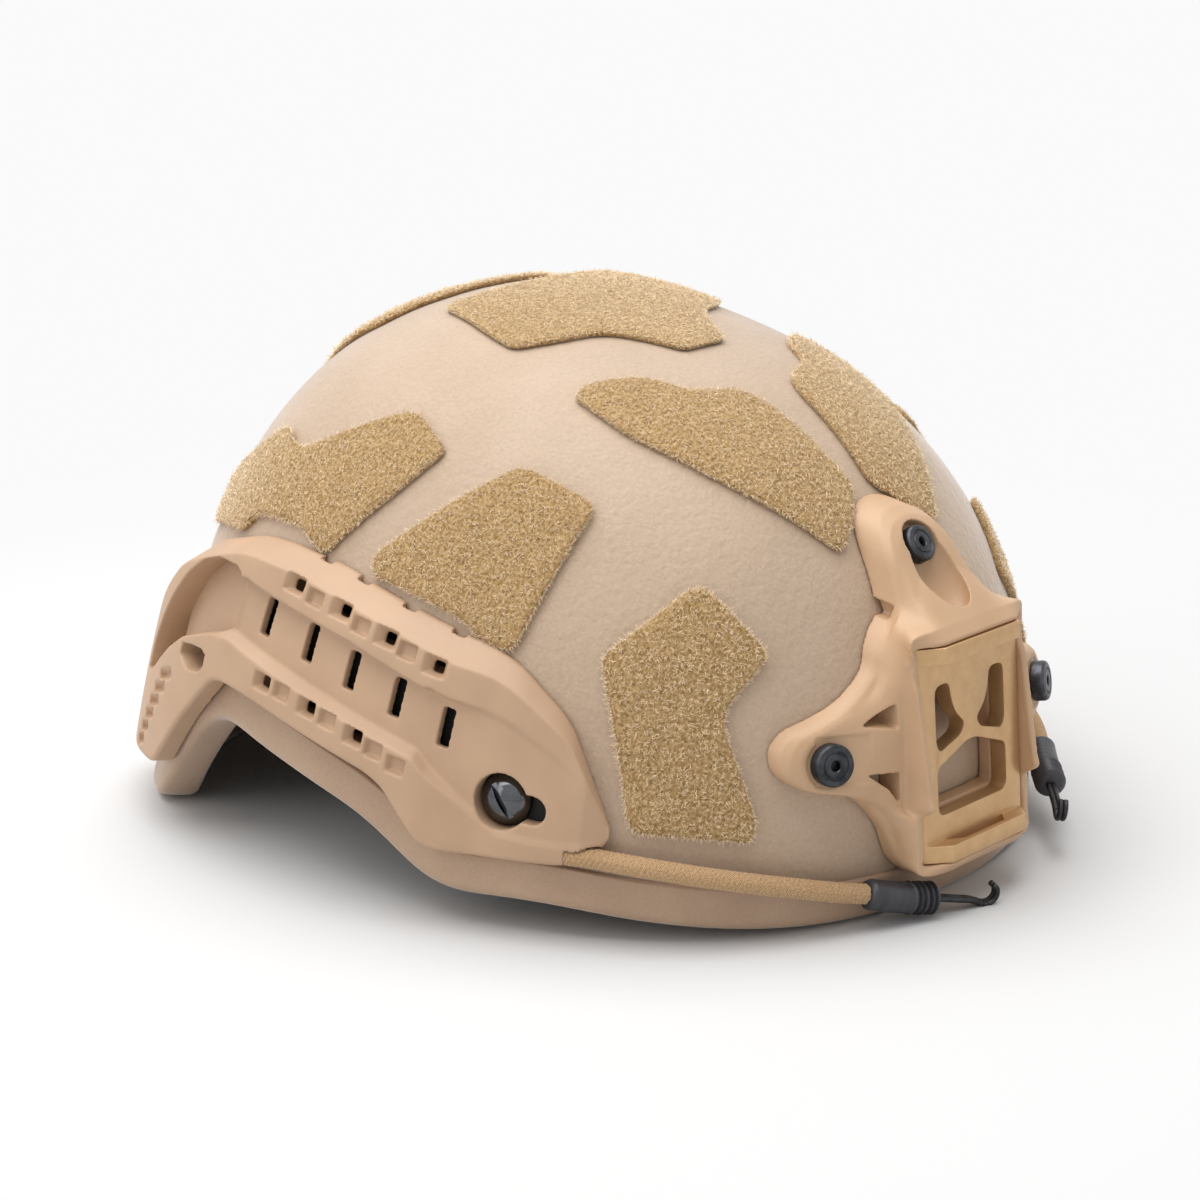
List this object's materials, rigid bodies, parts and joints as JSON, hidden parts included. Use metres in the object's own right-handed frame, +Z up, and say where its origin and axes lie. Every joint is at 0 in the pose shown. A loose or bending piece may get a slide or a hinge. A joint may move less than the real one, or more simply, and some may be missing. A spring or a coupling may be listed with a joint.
{
  "type": "combat helmet",
  "caption": "High-cut combat helmet with slotted side rails, a front accessory shroud, loop panels, bungee hooks, pads, a dial fit band and a chin harness, standing on its brow and nape.",
  "frame": {"origin": "Centre of the bounding box on the surface that the helmet stands on.", "axes": "-Y is the helmet's front, +Z is up, and the wearer's right is -X."},
  "size_m": [0.255, 0.3012, 0.1652],
  "materials": {
    "shell_paint": "gritty matte paint",
    "edge_trim": "matte",
    "black_steel": "black oxide",
    "tan_polymer": "moulded matte",
    "bronze_plate": "bronze anodised",
    "loop_pile": "looped pile",
    "pad_foam": "brushed fabric over foam",
    "cord_braid": "braided",
    "shrink_sleeve": "satin",
    "hook_wire": "satin black",
    "fit_plastic": "matte",
    "buckle_plastic": "matte",
    "chin_cup": "brushed fabric",
    "webbing": "woven"
  },
  "bodies": {
    "helmet": {"shell": "shell_paint", "edge_trim": "edge_trim", "shroud_frame": "tan_polymer", "shroud_plate": "bronze_plate", "shroud_bolts": "black_steel", "shroud_nuts": "black_steel", "rail_right": "tan_polymer", "rail_left": "tan_polymer", "rail_screws": "black_steel", "rail_posts": "black_steel", "rail_rear_screws": "black_steel", "loop_crown": "loop_pile", "loop_rear_crown": "loop_pile", "loop_brow_right": "loop_pile", "loop_brow_left": "loop_pile", "loop_temple_right": "loop_pile", "loop_temple_left": "loop_pile", "loop_side_right": "loop_pile", "loop_side_left": "loop_pile", "loop_rear_right": "loop_pile", "loop_rear_left": "loop_pile", "pad_crown": "pad_foam", "pad_front": "pad_foam", "pad_rear": "pad_foam", "pad_front_right": "pad_foam", "pad_front_left": "pad_foam", "pad_rear_right": "pad_foam", "pad_rear_left": "pad_foam", "cord_right": "cord_braid", "cord_left": "cord_braid", "nape_cradle": "fit_plastic", "strap_front_right": "webbing", "strap_front_left": "webbing", "strap_rear_right": "webbing", "strap_rear_left": "webbing", "yoke_right": "buckle_plastic", "yoke_left": "buckle_plastic", "chin_strap_right": "webbing", "chin_strap_left": "webbing", "chin_cup": "chin_cup", "buckle_strap": "webbing", "buckle_socket": "buckle_plastic"},
    "dial": {"dial_knob": "fit_plastic"},
    "right_band": {"band_right": "fit_plastic"},
    "left_band": {"band_left": "fit_plastic"},
    "right_pull": {"sleeve_right": "shrink_sleeve", "hook_right": "hook_wire"},
    "left_pull": {"sleeve_left": "shrink_sleeve", "hook_left": "hook_wire"},
    "plug": {"buckle_plug": "buckle_plastic"}
  },
  "joints": [
    {"name": "dial_turn", "type": "hinge", "parent": "helmet", "child": "dial", "pos_m": [0, 0.10749, 0.02761], "axis": [0, 0.9845, -0.1754], "range_deg": [-120, 120]},
    {"name": "right_band_draw", "type": "hinge", "parent": "helmet", "child": "right_band", "pos_m": [0, 0.01829, 0.0435], "axis": [0, 0.1754, 0.9845], "range_deg": [-7.9, 7.9]},
    {"name": "left_band_draw", "type": "hinge", "parent": "helmet", "child": "left_band", "pos_m": [0, 0.01829, 0.0435], "axis": [0, 0.1754, 0.9845], "range_deg": [-7.9, 7.9]},
    {"name": "right_cord_pull", "type": "slide", "parent": "helmet", "child": "right_pull", "axis": [0.91, -0.3466, -0.2276], "range_m": [0, 0.02], "stiffness_N_per_m": 60, "deforming": ["cord_right"]},
    {"name": "left_cord_pull", "type": "slide", "parent": "helmet", "child": "left_pull", "axis": [-0.7245, -0.6627, -0.1896], "range_m": [0, 0.02], "stiffness_N_per_m": 60, "deforming": ["cord_left"]},
    {"name": "buckle_release", "type": "slide", "parent": "helmet", "child": "plug", "axis": [-0.9092, -0.4163, 0], "range_m": [0, 0.014]}
  ],
  "couplings": [
    {"joint": "right_band_draw", "follows": "dial_turn", "ratio": -0.065646},
    {"joint": "left_band_draw", "follows": "dial_turn", "ratio": 0.065646}
  ]
}
